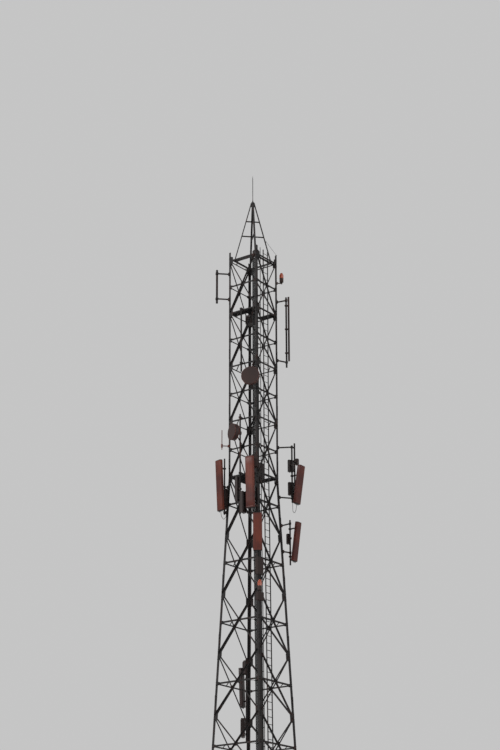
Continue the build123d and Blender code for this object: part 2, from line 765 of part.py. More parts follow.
def ladder(from_leg, width, stile, low, high, pitch, rung_offset=0.0):
    """A leaning and an upright section of ladder, with square rungs set on edge, each section
    tied to the mid-bay horizontals."""
    half_span = width / 2
    stiles = [riser(from_leg + s * half_span, RISER_INSET, low, high, stile, SEAT_GAP) for s in (-1, 1)]
    lower, upper = [list(pair) for pair in zip(*stiles)]
    for k in range(int((high - low) / pitch)):
        z = low + pitch * (k + 0.5)
        if abs(z - KINK_HEIGHT) < RUNG:
            z = KINK_HEIGHT + RUNG
        half = half_width(z)
        place = Pos(half - RISER_INSET + rung_offset, -half + from_leg, z) * Rot(0, 45, 0)
        (lower if z < KINK_HEIGHT else upper).append(place * Box(RUNG, width, RUNG))
    lower += ladder_ties(from_leg, half_span, RISER_INSET, range(TAPERED_BAYS))
    upper += ladder_ties(from_leg, half_span, RISER_INSET, range(TAPERED_BAYS, TAPERED_BAYS + UPRIGHT_BAYS))
    return joined(lower), joined(upper)


def climbing_ladder():
    """The ladder for people, on flat stiles."""
    stile = Rectangle(LADDER_STILE, 12)
    high = TOP_HEIGHT + LADDER_RISE
    return ladder(LADDER_FROM_LEG, LADDER_WIDTH, stile, LADDER_BOTTOM, high, RUNG_PITCH)


def cable_ladder():
    """Narrower ladder that carries the feeders on the inner edges of its rungs."""
    depth = CABLE_STILE
    high = TOP_HEIGHT + CABLE_LADDER_RISE
    offset = RUNG / math.sqrt(2) - depth / 2 - RUNG_PROUD
    stile = Rectangle(depth, 10)
    return ladder(
        CABLE_LADDER_FROM_LEG, CABLE_LADDER_WIDTH, stile, CABLE_LADDER_BOTTOM, high, CABLE_RUNG_PITCH, offset
    )


def feeders():
    """Feeder cables side by side on the cable ladder's inner face, each ending at its own height."""
    cables = []
    for k, (bays, rise) in enumerate(FEEDER_TOPS):
        offset = CABLE_LADDER_FROM_LEG + (k - (len(FEEDER_TOPS) - 1) / 2) * FEEDER_PITCH
        inset = RISER_INSET + CABLE_STILE / 2 + RUNG_PROUD + SEAT_GAP + FEEDER_RADIUS
        top = at(bays, rise)
        if top > KINK_HEIGHT:
            lower, upper = riser(offset, inset, FEEDER_BOTTOM, top, Circle(FEEDER_RADIUS))
            cables.append(lower + upper)
        else:
            half = half_width(FEEDER_BOTTOM)
            place = Pos(half - inset, offset - half, FEEDER_BOTTOM)
            lean = Vector(-TAPER, TAPER, 1)
            length = (top - FEEDER_BOTTOM) * lean.length
            cables.append(extrude(place * Circle(FEEDER_RADIUS), length, dir=lean))
    return cables


# Writing the nodes

ORIGIN_SHIFT = Pos(half_width(0), half_width(0), 0)


def write(name, *shapes):
    """Writes one node, moved so that the origin lies under the south-west leg."""
    solids = [solid for shape in shapes for solid in (ORIGIN_SHIFT * shape).solids()]
    solids[0].label = name
    export_step(Compound(children=solids) if len(solids) > 1 else solids[0], f"parts/{name}.step")


def write_structure():
    """Legs, base plates, lattice sides, floors, ties, ladders and the spire."""
    leg, base = north_east_leg(), north_east_base_plate()
    for corner, turn in LEG_TURNS.items():
        write(f"leg_{corner}", *[Rot(0, 0, turn) * length for length in leg])
    write("base_plates", *[Rot(0, 0, turn) * base for turn in LEG_TURNS.values()])
    lower, upper = lower_south_side(), upper_south_side()
    for side, turn in SIDE_TURNS.items():
        write(f"side_{side}_lower", Rot(0, 0, turn) * lower)
        write(f"side_{side}_upper", Rot(0, 0, turn) * upper)
    write("corner_ties", *upper_corner_ties(), *lower_corner_ties())
    write("floor_upper", *floor_panels(at(TAPERED_BAYS + 3), -HATCH_WIDTH / 10))
    write("floor_middle", *floor_panels(KINK_HEIGHT + KINK_RISE, FLOOR_EDGE - TOP_WIDTH / 2))
    write("spire_frame", spire_frame())
    write("spire", spire())
    write("lightning_rod", lightning_rod())
    write("stay_wire", stay_wire())
    write("climbing_ladder", *climbing_ladder())
    write("cable_ladder", *cable_ladder())
    write("feeder_cables", *feeders())


def write_upper_fittings():
    """What the upright part carries above the middle floor."""
    pipe = pipe_beside("sw", KINK_HEIGHT, heading(225) * 536, at(13, 460), at(14, -470), 47)
    write("pipe_mount_west", leg_mount("sw", pipe, [(at(14, -630), at(14, -630)), (at(13, 670), at(13, 670))]))

    pipe = pipe_beside("ne", KINK_HEIGHT, heading(45) * 405, at(12, 120), at(13, 910), 38)
    write("pipe_mount_east", leg_mount("ne", pipe, [(at(13, 670), at(13, 770)), (at(12, 420), at(12, 360))]))
    write("slender_antenna", slender_antenna(pipe, 80, 118, at(12, 400), at(13, 910)))

    pipe = Pipe(0, -TOP_WIDTH / 2 - 110, at(12, -400), at(13, 45), 37)
    write("pipe_mount_south", side_mount(pipe, [at(13), at(12)]))

    pipe = pipe_beside("se", KINK_HEIGHT, Vector(-60, -250, 0), at(11, 1100), at(12, -400), 45)
    write("dish_mount_upper", leg_mount("se", pipe, [(at(12, -580), at(12, -580)), (at(11, 1460), at(11, 1460))]))
    write("dish_upper", drum_dish(pipe, 158, at(11, 1605), 770, 150))

    lamps = [lamp("ne", at(14, -870), 210, 60), lamp("se", at(8, -170), 260, 150)]
    write("beacons", *[fitting for fitting, dome in lamps])
    write("beacon_lenses", *[dome for fitting, dome in lamps])
    write("whip_antenna", whip("sw", at(10, 1420), at(10, 2120), 290))

    under = ledge(at(TAPERED_BAYS + 3))
    write("junction_box_upper", cabinet((-300, -160, under - 400), (40, 140, under)))
    deck = ledge(KINK_HEIGHT + KINK_RISE) + FLOOR_DEPTH + 2 * SEAT_GAP
    write("junction_box_middle", cabinet((-300, 420, deck), (50, 670, deck + 790)))


def write_middle_fittings():
    """Antennas, radio units and the lower dish round the kink."""
    pipe = pipe_beside("sw", KINK_HEIGHT, heading(225) * 175, at(10, -1600), at(10, 850), 32)
    write("panel_mount_west", leg_mount("sw", pipe, [(at(10, -400), at(10, -400)), (at(10, -1500), at(10, -1500))]))
    panel_west = Panel(pipe, 195, at(10, -370), 350, 140, 2170, 3.0, 175)
    unit_west = RadioUnit(pipe, 110, at(10, -950), 130, 110, 880)
    write("panel_west", panel_west.shape())

    front = pipe_beside("se", KINK_HEIGHT, Vector(-40, -260, 0), at(10, -1750), at(10, 700), 32)
    write("panel_mount_south", leg_mount("se", front, [(at(10, -400), at(10, -400)), (at(10, -1500), at(10, -1500))]))
    write("panel_south", Panel(front, 172, at(10, -555), 360, 140, 2200, 2.0, 170).shape())

    dish_pipe = Pipe(0, -TOP_WIDTH / 2 - 190, at(10, -1750), at(11, 150), 34)
    write("dish_mount_lower", side_mount(dish_pipe, [at(11), KINK_HEIGHT + KINK_RISE]))
    write("dish_lower", drum_dish(dish_pipe, 205, at(11, -700), 700, 190))
    units = [
        unit_west,
        RadioUnit(front, 60, at(10, 410), 300, 160, 520),
        RadioUnit(front, 275, at(10, -1000), 290, 140, 900),
        RadioUnit(dish_pipe, 85, at(10, -1250), 290, 150, 900),
        RadioUnit(dish_pipe, 265, at(10, -650), 240, 120, 1050),
    ]
    write("radio_units_south", *[unit.shape() for unit in units])

    inner = pipe_beside("ne", KINK_HEIGHT, heading(45) * 590, at(10, -960), at(10, 1570), 34)
    outer = pipe_beside("ne", KINK_HEIGHT, heading(45) * 590 + heading(10) * 160, at(10, -960), at(10, 1700), 34)
    cross = [square_bar(inner.point(z), outer.point(z), 50) for z in (at(10, 1500), at(10, -770))]
    mount = leg_mount("ne", inner, [(at(10, 1450), at(10, 1500)), (at(10, -750), at(10, -770))])
    write("panel_mount_east", joined([mount, outer.shape()] + cross))
    panel_east = Panel(inner, 88, at(10, -230), 380, 160, 1640, 9.0, 265, 0.27)
    unit_east = RadioUnit(inner, 300, at(10, -320), 240, 130, 560)
    write("panel_east", panel_east.shape())
    low = pipe_beside("ne", at(9), heading(45) * 335, at(9, -1170), at(9, 770), 34)
    units = [
        unit_east,
        RadioUnit(inner, 300, at(10, 690), 240, 130, 520),
        RadioUnit(outer, 20, at(10, 900), 130, 110, 260),
        RadioUnit(low, 290, at(9, -20), 160, 110, 430),
    ]
    write("radio_units_east", *[unit.shape() for unit in units])
    write("jumper_cables", jumper(panel_west.outlet(1), unit_west.outlet(0), 330),
          jumper(panel_east.outlet(1), unit_east.outlet(1), 330))

    write("panel_mount_low_east", leg_mount("ne", low, [(at(9, 520), at(9, 620)), (at(9, -600), at(9, -640))]))
    write("panel_low_east", Panel(low, 88, at(9, -210), 300, 140, 1650, 8.0, 235).shape())


def write_lower_fittings():
    """What the tapered part carries below the kink."""
    pipe = pipe_beside("se", at(9), heading(140) * 175, at(9, -1150), at(9, 700), 32)
    write("panel_mount_low_south", leg_mount("se", pipe, [(at(9, 520), at(9, 520)), (at(9, -600), at(9, -600))]))
    write("panel_low_south", Panel(pipe, 150, at(9, -220), 360, 140, 1570, 2.0, 150).shape())
    boxes = [box_on_leg("se", at(8, 850), 100, 320, 170, 700), box_on_leg("se", at(8, -420), 100, 330, 170, 330)]
    write("junction_boxes_front", *boxes)

    pipe = pipe_beside("nw", at(6), heading(300) * 190, at(6, -700), at(7, -450), 34)
    write("rear_mount", leg_mount("nw", pipe, [(at(7, -600), at(7, -600)), (at(6, -400), at(6, -400))]))
    write("panel_rear", Panel(pipe, 255, at(6, 1530), 340, 140, 1600, 2.0, 130).shape())
    write("radio_unit_rear", RadioUnit(pipe, 235, at(6, -140), 360, 160, 760).shape())
    write("canister_rear", canister(pipe, 600, 170))


def main():
    os.makedirs("parts", exist_ok=True)
    write_structure()
    write_upper_fittings()
    write_middle_fittings()
    write_lower_fittings()


main()
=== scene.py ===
import json
import logging
import math
from dataclasses import dataclass, field
from enum import Enum
from typing import Callable, Iterable, Sequence, Union

import bpy
from mathutils import Euler, Matrix, Vector


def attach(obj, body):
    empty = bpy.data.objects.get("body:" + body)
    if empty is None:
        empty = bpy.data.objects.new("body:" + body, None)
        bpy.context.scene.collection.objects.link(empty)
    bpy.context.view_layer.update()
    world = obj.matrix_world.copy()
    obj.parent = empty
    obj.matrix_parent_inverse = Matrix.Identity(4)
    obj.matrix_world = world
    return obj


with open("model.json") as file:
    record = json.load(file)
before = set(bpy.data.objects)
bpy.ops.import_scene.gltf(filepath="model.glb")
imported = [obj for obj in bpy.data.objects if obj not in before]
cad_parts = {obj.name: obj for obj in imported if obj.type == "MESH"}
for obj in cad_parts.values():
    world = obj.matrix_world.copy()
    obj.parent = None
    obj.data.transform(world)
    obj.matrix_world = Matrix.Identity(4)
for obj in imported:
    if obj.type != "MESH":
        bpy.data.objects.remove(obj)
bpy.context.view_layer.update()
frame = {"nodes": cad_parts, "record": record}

LOG = logging.getLogger("tower")
ROOT = "root"
AXIS = Vector((1.775, 1.775, 0.0))
TURNS = {"south": 0.0, "east": 90.0, "north": 180.0, "west": 270.0}
LEG_BEARINGS = {"sw": 225.0, "se": 135.0, "ne": 45.0, "nw": 315.0}
BAY, TAPERED_BAYS, BAYS = 2.5, 10, 14
KINK, TOP = BAY * TAPERED_BAYS, BAY * BAYS
TOP_HALF, BASE_HALF = 0.75, 1.775
TAPER = (BASE_HALF - TOP_HALF) / KINK
GAUGE = 0.055
GUSSET = 0.008
LOWER_LEG, UPPER_LEG = 0.11, 0.09
LOWER_BAR, UPPER_BAR = 0.06, 0.05
BAR_THICK = 0.006
END_GAP = 0.015
SEAT_GAP = 0.0003
FOOT_NODE = 0.215
KINK_RISE = 0.045

Number = Union[int, float]
Colour = tuple[float, float, float]


# Shader maths


class Shade:
    """A socket of a material's tree that takes part in arithmetic."""

    def __init__(self, sheet: "Sheet", socket: bpy.types.NodeSocket) -> None:
        """Keeps the sheet that the socket belongs to."""
        self.sheet = sheet
        self.socket = socket

    def _math(self, operation: str, first: "Value", second: "Value", clamp: bool = False) -> "Shade":
        """Adds one Math node.

        Args:
            operation: The Math node's operation.
            first: Its first value.
            second: Its second value.
            clamp: Whether the result is kept between 0 and 1.

        Returns:
            The result.
        """
        settings = {"operation": operation, "use_clamp": clamp}
        return self.sheet.node("ShaderNodeMath", settings, {0: first, 1: second})

    def __add__(self, other: "Value") -> "Shade":
        """The sum."""
        return self._math("ADD", self, other)

    def __radd__(self, other: "Value") -> "Shade":
        """The sum, reflected."""
        return self._math("ADD", other, self)

    def __sub__(self, other: "Value") -> "Shade":
        """The difference."""
        return self._math("SUBTRACT", self, other)

    def __rsub__(self, other: "Value") -> "Shade":
        """The difference, reflected."""
        return self._math("SUBTRACT", other, self)

    def __mul__(self, other: "Value") -> "Shade":
        """The product."""
        return self._math("MULTIPLY", self, other)

    def __rmul__(self, other: "Value") -> "Shade":
        """The product, reflected."""
        return self._math("MULTIPLY", other, self)

    def kept(self) -> "Shade":
        """The value kept between 0 and 1."""
        return self._math("ADD", self, 0.0, clamp=True)


Value = Union[Shade, Number]


class Sheet:
    """A material in the making, with its Principled shader."""

    def __init__(self, name: str) -> None:
        """Starts an empty material.

        Args:
            name: The material's name.
        """
        self.material = bpy.data.materials.new(name)
        self.material.use_nodes = True
        self.tree = self.material.node_tree
        self.shader = self.tree.nodes["Principled BSDF"]

    def node(self, kind: str, settings: dict, inputs: dict, output: Union[int, str] = 0) -> Shade:
        """Adds any node.

        Args:
            kind: The node's type.
            settings: Its properties, and a ramp's stops under "stops", set first.
            inputs: Values or links of its sockets.
            output: The socket that is handed back.

        Returns:
            The chosen output.
        """
        node = self.tree.nodes.new(kind)
        for key, value in settings.items():
            if key == "stops":
                for index, (place, level) in enumerate(value):
                    stop = node.color_ramp.elements[index]
                    stop.position, stop.color = place, (level, level, level, 1.0)
            else:
                setattr(node, key, value)
        for key, value in inputs.items():
            self.set(node.inputs[key], value)
        return Shade(self, node.outputs[output])

    def set(self, socket: bpy.types.NodeSocket, value: object) -> None:
        """Gives a socket a value or a link."""
        if isinstance(value, Shade):
            self.tree.links.new(value.socket, socket)
        elif isinstance(value, tuple) and len(value) == 3 and socket.type == "RGBA":
            socket.default_value = (*value, 1.0)
        else:
            socket.default_value = value

    def place(self, scale: Colour = (1.0, 1.0, 1.0)) -> Shade:
        """Object coordinates, stretched.

        Args:
            scale: How much finer the pattern is along each axis.

        Returns:
            The coordinates.
        """
        raw = self.node("ShaderNodeTexCoord", {}, {}, "Object")
        return self.node("ShaderNodeMapping", {}, {"Vector": raw, "Scale": scale})

    def noise(self, scale: float, detail: float = 3.0, stretch: Colour = (1.0, 1.0, 1.0)) -> Shade:
        """Soft noise over the object's own coordinates.

        Args:
            scale: Its fineness, per metre.
            detail: Its octaves.
            stretch: How much finer it is along each axis.

        Returns:
            The noise, from 0 to 1.
        """
        inputs = {"Vector": self.place(stretch), "Scale": scale, "Detail": detail}
        return self.node("ShaderNodeTexNoise", {}, inputs, "Fac")

    def step(self, value: Shade, low: float, high: float) -> Shade:
        """A soft step from 0 at low to 1 at high."""
        return self.node("ShaderNodeValToRGB", {"stops": [(low, 0.0), (high, 1.0)]}, {"Fac": value})

    def blend(self, share: Value, first: object, second: object) -> Shade:
        """A mix of two colours.

        Args:
            share: How much of the second shows.
            first: One colour.
            second: The other.

        Returns:
            The mixed colour.
        """
        inputs = {0: share, 6: first, 7: second}
        return self.node("ShaderNodeMix", {"data_type": "RGBA"}, inputs, 2)

    def bump(self, height: Shade, strength: float, distance: float) -> None:
        """Feeds the shader's Normal with a bump."""
        inputs = {"Height": height, "Strength": strength, "Distance": distance}
        self.set(self.shader.inputs["Normal"], self.node("ShaderNodeBump", {}, inputs, "Normal"))

    def finish(self, **sockets: object) -> bpy.types.Material:
        """Sets the shader's sockets, whose spaces are written as underscores.

        Args:
            **sockets: The value or link of each.

        Returns:
            The finished material.
        """
        for key, value in sockets.items():
            self.set(self.shader.inputs[key.replace("_", " ")], value)
        return self.material


# Finishes

MATT = 0.25


@dataclass(frozen=True)
class SteelFinish:
    """Weathered galvanised steel, with dull patches, runs and rust, in near-black tones that are painted
    shade of a backlit silhouette, not the steel's own grey.
    """

    name: str
    # tone and dull are painted shade: near black, as the steel looks against a bright sky, over its real
    # dull patches and rust
    tone: Colour = (0.022, 0.019, 0.019)
    dull: Colour = (0.010, 0.009, 0.009)
    rust: Colour = (0.055, 0.018, 0.011)
    rust_share: float = 0.5
    rough: float = 0.65
    metal: float = 0.12

    def make(self) -> bpy.types.Material:
        """Builds the material."""
        sheet = Sheet(self.name)
        runs = sheet.noise(1.0, 4.0, (11.0, 11.0, 0.9))
        patches = sheet.noise(2.3, 5.0)
        grain = sheet.noise(70.0, 3.0)
        worn = sheet.step(runs * 0.5 + patches * 0.5, 0.40, 0.62)
        rusty = sheet.step(sheet.noise(6.5, 5.0) * 0.55 + runs * 0.45, 0.53, 0.66) * self.rust_share
        colour = sheet.blend(worn, self.dull, self.tone)
        colour = sheet.blend(grain * 0.35, colour, self.dull)
        colour = sheet.blend(rusty, colour, self.rust)
        sheet.bump(grain * 0.6 + rusty * 0.8, 0.25, 0.002)
        return sheet.finish(
            Base_Color=colour,
            Roughness=(self.rough + (grain - 0.5) * 0.3 + rusty * 0.25).kept(),
            Metallic=(self.metal - rusty * self.metal).kept(),
            Specular_IOR_Level=MATT,
        )


@dataclass(frozen=True)
class ShellFinish:
    """Painted or moulded shell with dirt in runs and a fine orange peel."""

    name: str
    tone: Colour
    shade: Colour
    dirt: Colour = (0.026, 0.014, 0.012)
    dirt_share: float = 0.5
    rough: float = 0.46
    peel: float = 0.12

    def make(self) -> bpy.types.Material:
        """Builds the material."""
        sheet = Sheet(self.name)
        fade = sheet.noise(1.1, 3.0)
        runs = sheet.noise(1.0, 4.0, (22.0, 22.0, 1.3))
        specks = sheet.noise(34.0, 4.0)
        peel = sheet.noise(260.0, 2.0)
        dirty = sheet.step(runs * 0.6 + specks * 0.4, 0.47, 0.66) * self.dirt_share
        colour = sheet.blend(sheet.step(fade, 0.35, 0.65), self.tone, self.shade)
        colour = sheet.blend(dirty, colour, self.dirt)
        sheet.bump(peel + dirty * 0.4, self.peel, 0.0008)
        return sheet.finish(
            Base_Color=colour,
            Roughness=(self.rough + dirty * 0.35 + (specks - 0.5) * 0.15).kept(),
            Specular_IOR_Level=MATT,
        )


@dataclass(frozen=True)
class JacketFinish:
    """Matt black cable jacket, dusty in places."""

    name: str
    tone: Colour = (0.010, 0.010, 0.010)
    dust: Colour = (0.034, 0.029, 0.026)

    def make(self) -> bpy.types.Material:
        """Builds the material."""
        sheet = Sheet(self.name)
        dusty = sheet.step(sheet.noise(1.0, 4.0, (30.0, 30.0, 4.0)), 0.48, 0.72) * 0.5
        grain = sheet.noise(180.0, 2.0)
        sheet.bump(grain, 0.1, 0.0006)
        return sheet.finish(
            Base_Color=sheet.blend(dusty, self.tone, self.dust),
            Roughness=(0.55 + dusty * 0.3 + (grain - 0.5) * 0.1).kept(),
            Specular_IOR_Level=MATT,
        )


@dataclass(frozen=True)
class LensFinish:
    """Moulded coloured lens, clear with a dusty foot."""

    name: str
    tone: Colour = (0.46, 0.075, 0.018)
    deep: Colour = (0.20, 0.024, 0.009)

    def make(self) -> bpy.types.Material:
        """Builds the material."""
        sheet = Sheet(self.name)
        clouds = sheet.noise(9.0, 3.0)
        flutes = sheet.node(
            "ShaderNodeTexWave", {"bands_direction": "Z"}, {"Vector": sheet.place(), "Scale": 14.0}, "Fac"
        )
        sheet.bump(flutes, 0.35, 0.003)
        return sheet.finish(
            Base_Color=sheet.blend(flutes * 0.4 + clouds * 0.3, self.tone, self.deep),
            Roughness=(0.12 + clouds * 0.2).kept(),
            Transmission_Weight=0.25,
            IOR=1.49,
            Coat_Weight=0.4,
        )


FINISHES = {
    # The steel finishes carry near-black painted shade over their real weathering and rust.
    "leg_steel": SteelFinish("leg_steel_weathered_painted_shade", rust_share=0.4),
    "bracing_steel": SteelFinish("bracing_steel_weathered_painted_shade", tone=(0.024, 0.021, 0.020)),
    "floor_steel": SteelFinish("floor_steel_dull_painted_shade", tone=(0.019, 0.017, 0.017), rust_share=0.4),
    "ladder_steel": SteelFinish("ladder_steel_worn_painted_shade", tone=(0.027, 0.024, 0.023), rough=0.55),
    "mount_steel": SteelFinish("mount_steel_weathered_painted_shade", tone=(0.022, 0.018, 0.017), rust_share=0.6),
    "spire_steel": SteelFinish("spire_steel_paint_and_painted_shade", tone=(0.020, 0.017, 0.017)),
    "rod_metal": SteelFinish("rod_metal_aged_painted_shade", tone=(0.045, 0.035, 0.032), rough=0.5, metal=0.4),
    "cable_jacket": JacketFinish("cable_jacket_black"),
    # The russet of the antenna covers is partly their own colour and partly painted light: the orange of
    # sodium street lamps on pale covers.
    "antenna_shell": ShellFinish("antenna_shell_russet_and_painted_lamplight", (0.125, 0.026, 0.014), (0.058, 0.013, 0.010)),
    "slender_shell": ShellFinish("slender_shell_dark", (0.034, 0.017, 0.015), (0.020, 0.012, 0.011)),
    # The radio units' light-grey housings are drawn near-black umber: painted shade.
    "radio_shell": ShellFinish("radio_shell_umber_painted_shade", (0.024, 0.013, 0.011), (0.015, 0.010, 0.009)),
    # The dark umber of the dish shells is painted shade of their unlit faces, beside the lit rims.
    "dish_shell": ShellFinish("dish_shell_umber_painted_shade", (0.034, 0.015, 0.012), (0.020, 0.010, 0.009)),
    # The russet rim finish is a painted highlight: the lit reddish rims of the dishes.
    "dish_rim": ShellFinish("dish_rim_painted_highlight", (0.150, 0.036, 0.020), (0.085, 0.021, 0.014)),
    "whip_shell": ShellFinish("whip_shell_brick", (0.130, 0.034, 0.023), (0.070, 0.020, 0.016)),
    "beacon_metal": ShellFinish("beacon_metal_dark", (0.034, 0.018, 0.014), (0.020, 0.012, 0.010)),
    "beacon_glass": LensFinish("beacon_lens_amber"),
}
# canister_rear takes the dark slender finish as painted shade of a part at the back of the tower.
NODE_LOOKS = {"slender_antenna": "slender_shell", "canister_rear": "slender_shell"}
COVERED_PANEL = "panel_"
MADE: dict[str, bpy.types.Material] = {}


def finish(slot: str) -> bpy.types.Material:
    """The one material of a finish, built when it is first asked for.

    Args:
        slot: The finish's key, which is mostly a material slot.

    Returns:
        The material.
    """
    if slot not in MADE:
        MADE[slot] = FINISHES[slot].make()
    return MADE[slot]


# The tower's own geometry, from which the small pieces take their places


def half_width(height: float) -> float:
    """Half the width over the leg heels.

    Args:
        height: The height at which it is taken.

    Returns:
        Half the width.
    """
    return TOP_HALF + TAPER * max(0.0, KINK - height)


def heading(bearing: float) -> Vector:
    """Unit vector of a compass bearing.

    Args:
        bearing: Degrees clockwise from north.

    Returns:
        The level vector.
    """
    return Vector((math.sin(math.radians(bearing)), math.cos(math.radians(bearing)), 0.0))


def leg_heel(corner: str, height: float) -> Vector:
    """A leg's outer corner.

    Args:
        corner: The leg.
        height: The height at which it is taken.

    Returns:
        The corner, about the tower's axis.
    """
    return heading(LEG_BEARINGS[corner]) * (half_width(height) * math.sqrt(2)) + Vector((0, 0, height))


def node_heights() -> list[float]:
    """Heights of the nodes, from the foot to the top."""
    return [FOOT_NODE] + [BAY * k for k in range(1, BAYS + 1)]


def mid_bay(low: float, high: float) -> float:
    """Height at which a bay's diagonals cross.

    Args:
        low: Height of the bay's lower node.
        high: Height of its upper node.

    Returns:
        The height of the crossing.
    """
    below, above = half_width(low) - GAUGE, half_width(high) - GAUGE
    return low + (high - low) * below / (below + above)


@dataclass(frozen=True)
class Place:
    """Where one repeated shape goes: its middle, its turn and its size."""

    at: Vector
    turn: Euler = field(default_factory=lambda: Euler((0.0, 0.0, 0.0)))
    size: Colour = (1.0, 1.0, 1.0)


@dataclass(frozen=True)
class SideFace:
    """One flat side of the tower, with u along it, z up and w outwards."""

    turn: float

    def spot(self, u: float, z: float, w: float, size: Colour = (1.0, 1.0, 1.0)) -> Place:
        """A place on the side, with its shape's own z axis outwards.

        Args:
            u: Offset along the side from its middle.
            z: Height.
            w: Distance out of the plane of the leg heels.
            size: The shape's size.

        Returns:
            The place.
        """
        out = Vector((0.0, -1.0, TAPER if z < KINK else 0.0)).normalized()
        at = Vector((u, -half_width(z), z)) + out * w
        along = Vector((1.0, 0.0, 0.0))
        basis = Matrix((along, out.cross(along), out)).transposed()
        turned = Matrix.Rotation(math.radians(self.turn), 3, "Z")
        return Place(turned @ at + AXIS, (turned @ basis).to_euler(), size)


# Repeated shapes, by Geometry Nodes


class Stamp(Enum):
    """The shapes that are repeated."""

    BOLT = "hexagon head on a washer"
    BAR = "plain bar"
    RING = "round hoop"
    ROD = "round rod"


class StampTree:
    """A Geometry Nodes tree that puts one shape on every point of a mesh."""

    def __init__(self, stamp: Stamp) -> None:
        """Builds the tree.

        Args:
            stamp: The shape.
        """
        self.tree = bpy.data.node_groups.new(f"stamp_{stamp.name.lower()}", "GeometryNodeTree")
        face = self.tree.interface
        face.new_socket("Points", in_out="INPUT", socket_type="NodeSocketGeometry")
        self.width = face.new_socket("Width", in_out="INPUT", socket_type="NodeSocketFloat").identifier
        self.height = face.new_socket("Height", in_out="INPUT", socket_type="NodeSocketFloat").identifier
        self.finish = face.new_socket("Finish", in_out="INPUT", socket_type="NodeSocketMaterial").identifier
        face.new_socket("Shapes", in_out="OUTPUT", socket_type="NodeSocketGeometry")
        self.inputs = self.tree.nodes.new("NodeGroupInput")
        makers = {Stamp.BOLT: self._bolt, Stamp.BAR: self._bar, Stamp.RING: self._ring, Stamp.ROD: self._rod}
        shape = makers[stamp]()
        turn = self._add("FunctionNodeEulerToRotation", {}, {0: self._named("turn")})
        spread = self._add(
            "GeometryNodeInstanceOnPoints",
            {},
            {
                "Points": self._given("Points"),
                "Instance": shape,
                "Rotation": turn,
                "Scale": self._named("size"),
            },
        )
        real = self._add("GeometryNodeRealizeInstances", {}, {"Geometry": spread})
        look = self._given("Finish")
        done = self._add("GeometryNodeSetMaterial", {}, {"Geometry": real, "Material": look})
        output = self.tree.nodes.new("NodeGroupOutput")
        self.tree.links.new(done, output.inputs["Shapes"])

    def _given(self, name: str) -> bpy.types.NodeSocket:
        """One of the tree's own inputs."""
        return self.inputs.outputs[name]

    def _add(
        self, kind: str, settings: dict, inputs: dict, output: Union[int, str] = 0
    ) -> bpy.types.NodeSocket:
        """Adds a node.

        Args:
            kind: The node's type.
            settings: Its properties.
            inputs: Values or links of its sockets.
            output: The socket that is handed back.

        Returns:
            The chosen output.
        """
        node = self.tree.nodes.new(kind)
        for key, value in settings.items():
            setattr(node, key, value)
        for key, value in inputs.items():
            if isinstance(value, bpy.types.NodeSocket):
                self.tree.links.new(value, node.inputs[key])
            else:
                node.inputs[key].default_value = value
        return node.outputs[output]

    def _named(self, name: str) -> bpy.types.NodeSocket:
        """A vector attribute of the points."""
        return self._add("GeometryNodeInputNamedAttribute", {"data_type": "FLOAT_VECTOR"}, {"Name": name})

    def _times(self, socket: bpy.types.NodeSocket, share: float) -> bpy.types.NodeSocket:
        """A socket's value times a number."""
        return self._add("ShaderNodeMath", {"operation": "MULTIPLY"}, {0: socket, 1: share})

    def _raised(self, shape: bpy.types.NodeSocket, rise: bpy.types.NodeSocket) -> bpy.types.NodeSocket:
        """A shape moved along its own z axis."""
        offset = self._add("ShaderNodeCombineXYZ", {}, {"Z": rise})
        return self._add("GeometryNodeTransform", {}, {"Geometry": shape, "Translation": offset})

    def _bolt(self) -> bpy.types.NodeSocket:
        """A hexagon head on a round washer, that stands on its point."""
        width, height = self._given("Width"), self._given("Height")
        head = self._cylinder(6, self._times(width, 0.55), height)
        washer = self._cylinder(10, self._times(width, 0.85), self._times(height, 0.25))
        join = self.tree.nodes.new("GeometryNodeJoinGeometry")
        for shape, rise in ((head, 0.7), (washer, 0.125)):
            self.tree.links.new(self._raised(shape, self._times(height, rise)), join.inputs[0])
        return join.outputs[0]

    def _cylinder(
        self, corners: int, radius: bpy.types.NodeSocket, depth: Union[bpy.types.NodeSocket, Number]
    ) -> bpy.types.NodeSocket:
        """A closed cylinder about its own z axis."""
        inputs = {"Vertices": corners, "Radius": radius, "Depth": depth}
        return self._add("GeometryNodeMeshCylinder", {}, inputs)

    def _rod(self) -> bpy.types.NodeSocket:
        """A round rod, one metre long until its point's size stretches it."""
        return self._cylinder(10, self._given("Width"), 1.0)

    def _bar(self) -> bpy.types.NodeSocket:
        """A box that the points' sizes stretch."""
        return self._add("GeometryNodeMeshCube", {}, {"Size": (1.0, 1.0, 1.0)})

    def _ring(self) -> bpy.types.NodeSocket:
        """A hoop of round bar."""
        kind, mode = "GeometryNodeCurvePrimitiveCircle", {"mode": "RADIUS"}
        path = self._add(kind, mode, {"Resolution": 28, "Radius": self._given("Width")})
        bar = self._add(kind, mode, {"Resolution": 8, "Radius": self._given("Height")})
        return self._add("GeometryNodeCurveToMesh", {}, {"Curve": path, "Profile Curve": bar})


TREES: dict[Stamp, StampTree] = {}


